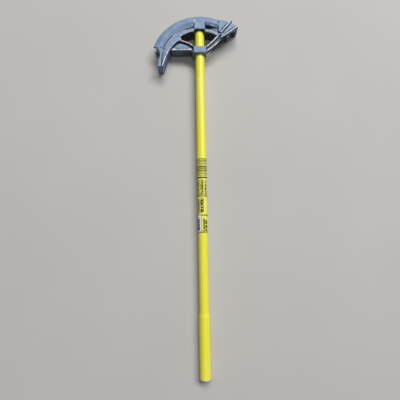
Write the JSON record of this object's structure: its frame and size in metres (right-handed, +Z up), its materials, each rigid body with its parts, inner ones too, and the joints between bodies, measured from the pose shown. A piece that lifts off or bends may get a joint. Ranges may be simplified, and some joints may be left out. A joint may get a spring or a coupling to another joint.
{
  "type": "conduit bender",
  "caption": "Hand conduit bender: a cast head with a curved grooved shoe, hook and foot pedal, on a long straight tube handle that is swaged wider at its open end.",
  "frame": {"origin": "middle of the object's box on the floor it lies on", "axes": "+Y up the handle towards the head, +Z up from the floor, square to the head's flat sides but for a lean of under half a degree"},
  "size_m": [0.243, 0.9902, 0.0441],
  "materials": {
    "cast_head": "sand-cast, satin, worn bright on the edges",
    "yellow_coating": "semi-gloss powder coat on steel",
    "label_film": null,
    "sticker": "printed sticker with dark blue marks"
  },
  "bodies": {
    "head": {"bender_head": "cast_head"},
    "handle": {"handle_tube": "yellow_coating", "wrap_label": "label_film", "white_sticker": "sticker"}
  },
  "joints": [
    {"name": "handle_unscrew", "type": "slide", "parent": "head", "child": "handle", "axis": [0, -1, -0.0079], "range_m": [0, 0.1]}
  ]
}
